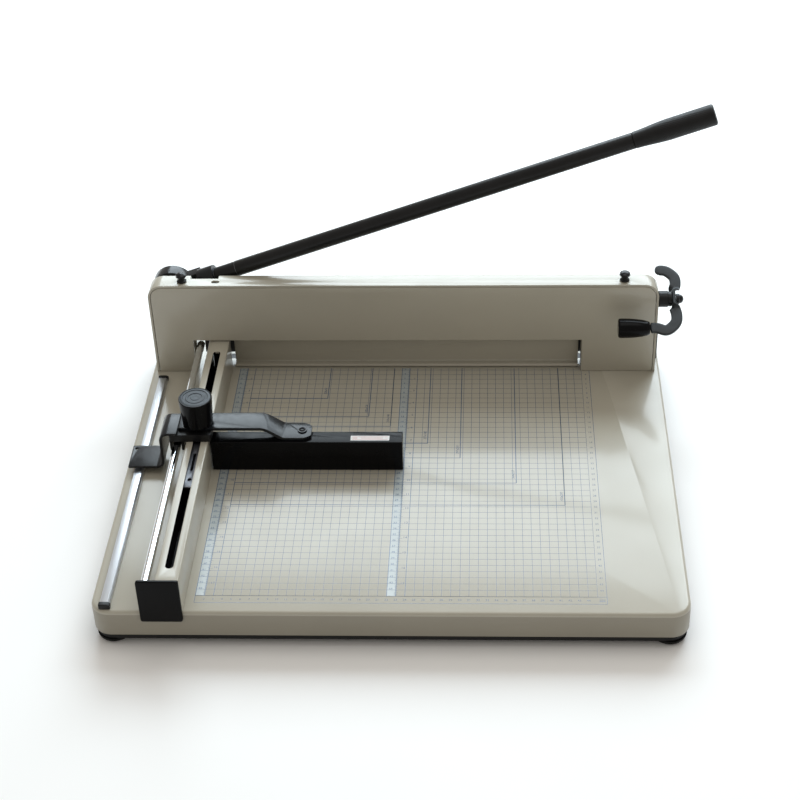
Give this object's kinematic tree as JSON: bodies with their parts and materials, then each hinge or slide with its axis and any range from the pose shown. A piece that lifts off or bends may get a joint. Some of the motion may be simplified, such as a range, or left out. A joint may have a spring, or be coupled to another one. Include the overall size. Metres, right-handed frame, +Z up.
{
  "type": "guillotine paper cutter",
  "caption": "Desk stack paper cutter with a long lever, slicing blade in a plated housing, clamp bar with side handle, grid-printed table and a stop sliding on a side rail.",
  "frame": {"origin": "middle of the footprint, at the bottom of the feet", "axes": "+X along the cut, towards the free end of the lever; +Y from the front of the table to the back; +Z up"},
  "size_m": [0.7074, 0.566, 0.4099],
  "materials": {
    "cream_paint": "satin stoved paint",
    "black_gloss": "gloss",
    "gloss_black_paint": "gloss paint",
    "black_paint": "satin paint",
    "black_plastic": "matt with fine texture",
    "dark_grey_casting": "satin",
    "rubber": "matt",
    "steel": "machined",
    "aluminium": "satin anodised",
    "chrome": "polished",
    "stick_plastic": "matt"
  },
  "bodies": {
    "frame": {"base_deck": "cream_paint", "base_tray": "black_plastic", "cutting_stick": "stick_plastic", "foot_front_left": "rubber", "foot_front_right": "rubber", "foot_rear_left": "rubber", "foot_rear_right": "rubber", "front_plate": "cream_paint", "rear_plate": "cream_paint", "frame_post_left": "cream_paint", "frame_post_right": "cream_paint", "cap_strip": "cream_paint", "frame_bracket_left": "black_paint", "frame_bracket_right": "black_paint", "gear_bracket_left": "steel", "gear_bracket_right": "steel", "lever_pivot_bolt": "steel", "rail_channel": "cream_paint", "guide_rod": "chrome", "rail_end_cap": "black_gloss", "ruler_bar": "aluminium", "ruler_cap_front": "black_plastic", "ruler_cap_rear": "black_plastic"},
    "cover_knob_left": {"cover_knob_left": "black_gloss"},
    "cover_knob_right": {"cover_knob_right": "black_gloss"},
    "clamp": {"clamp_bar": "cream_paint", "clamp_rack_left": "steel", "clamp_rack_right": "steel"},
    "clamp_shaft": {"clamp_shaft": "steel", "shaft_pinion_left": "steel", "shaft_pinion_right": "steel"},
    "idler_gears": {"idler_gear_left": "steel", "idler_gear_right": "steel"},
    "clamp_handle": {"ratchet_hub": "black_paint", "clamp_handle_bar": "dark_grey_casting", "clamp_handle_nut": "black_paint"},
    "clamp_handle_grip": {"clamp_handle_grip": "black_gloss"},
    "lever": {"lever_hub": "black_gloss", "lever_tube": "black_paint", "lever_grip": "black_plastic", "crank_roller": "steel"},
    "blade_carrier": {"blade_holder": "steel", "blade": "steel", "blade_screw_1": "steel", "blade_screw_2": "steel", "blade_screw_3": "steel", "guide_bolt_1": "steel", "guide_bolt_2": "steel"},
    "side_stop": {"carriage_block": "black_paint", "slide_strip": "steel", "knob_stud": "steel", "pointer_foot": "gloss_black_paint", "strap_bracket": "gloss_black_paint", "stop_bar": "gloss_black_paint", "stop_screw": "gloss_black_paint"},
    "stop_knob": {"clamp_knob": "black_plastic"}
  },
  "joints": [
    {"name": "lever_swing", "type": "hinge", "parent": "frame", "child": "lever", "pos_m": [-0.32168, 0.202, 0.154], "axis": [0, -1, 0], "range_deg": [-14, 50]},
    {"name": "blade_slide", "type": "slide", "parent": "frame", "child": "blade_carrier", "axis": [0.7071, 0, 0.7071], "range_m": [-0.012, 0.0425]},
    {"name": "clamp_lift", "type": "slide", "parent": "frame", "child": "clamp", "axis": [0, 0, 1], "range_m": [0, 0.037]},
    {"name": "clamp_shaft_spin", "type": "hinge", "parent": "frame", "child": "clamp_shaft", "pos_m": [0.05032, 0.176, 0.154], "axis": [-1, 0, 0], "range_deg": [0, 303]},
    {"name": "idler_spin", "type": "hinge", "parent": "frame", "child": "idler_gears", "pos_m": [-0.02468, 0.176, 0.14], "axis": [1, 0, 0], "range_deg": [0, 303]},
    {"name": "clamp_handle_swing", "type": "hinge", "parent": "frame", "child": "clamp_handle", "pos_m": [0.31032, 0.176, 0.154], "axis": [-1, 0, 0], "range_deg": [-31, 75]},
    {"name": "grip_spin", "type": "hinge", "parent": "clamp_handle", "child": "clamp_handle_grip", "pos_m": [0.26132, 0.13605, 0.13704], "axis": [1, 0, 0], "continuous": true},
    {"name": "stop_slide", "type": "slide", "parent": "frame", "child": "side_stop", "axis": [0, 1, 0], "range_m": [-0.155, 0.155]},
    {"name": "stop_knob_turn", "type": "hinge", "parent": "side_stop", "child": "stop_knob", "pos_m": [-0.26268, -0.021, 0.13], "axis": [0, 0, 1], "range_deg": [-20, 340]},
    {"name": "cover_knob_left_turn", "type": "hinge", "parent": "frame", "child": "cover_knob_left", "pos_m": [-0.30368, 0.176, 0.188], "axis": [0, 0, 1], "range_deg": [0, 360]},
    {"name": "cover_knob_right_turn", "type": "hinge", "parent": "frame", "child": "cover_knob_right", "pos_m": [0.25092, 0.176, 0.188], "axis": [0, 0, 1], "range_deg": [0, 360]}
  ],
  "couplings": [
    {"joint": "blade_slide", "follows": "lever_swing", "m_per_rad": 0.04863},
    {"joint": "clamp_shaft_spin", "follows": "clamp_lift", "rad_per_m": 142.86},
    {"joint": "idler_spin", "follows": "clamp_lift", "rad_per_m": 142.86}
  ]
}
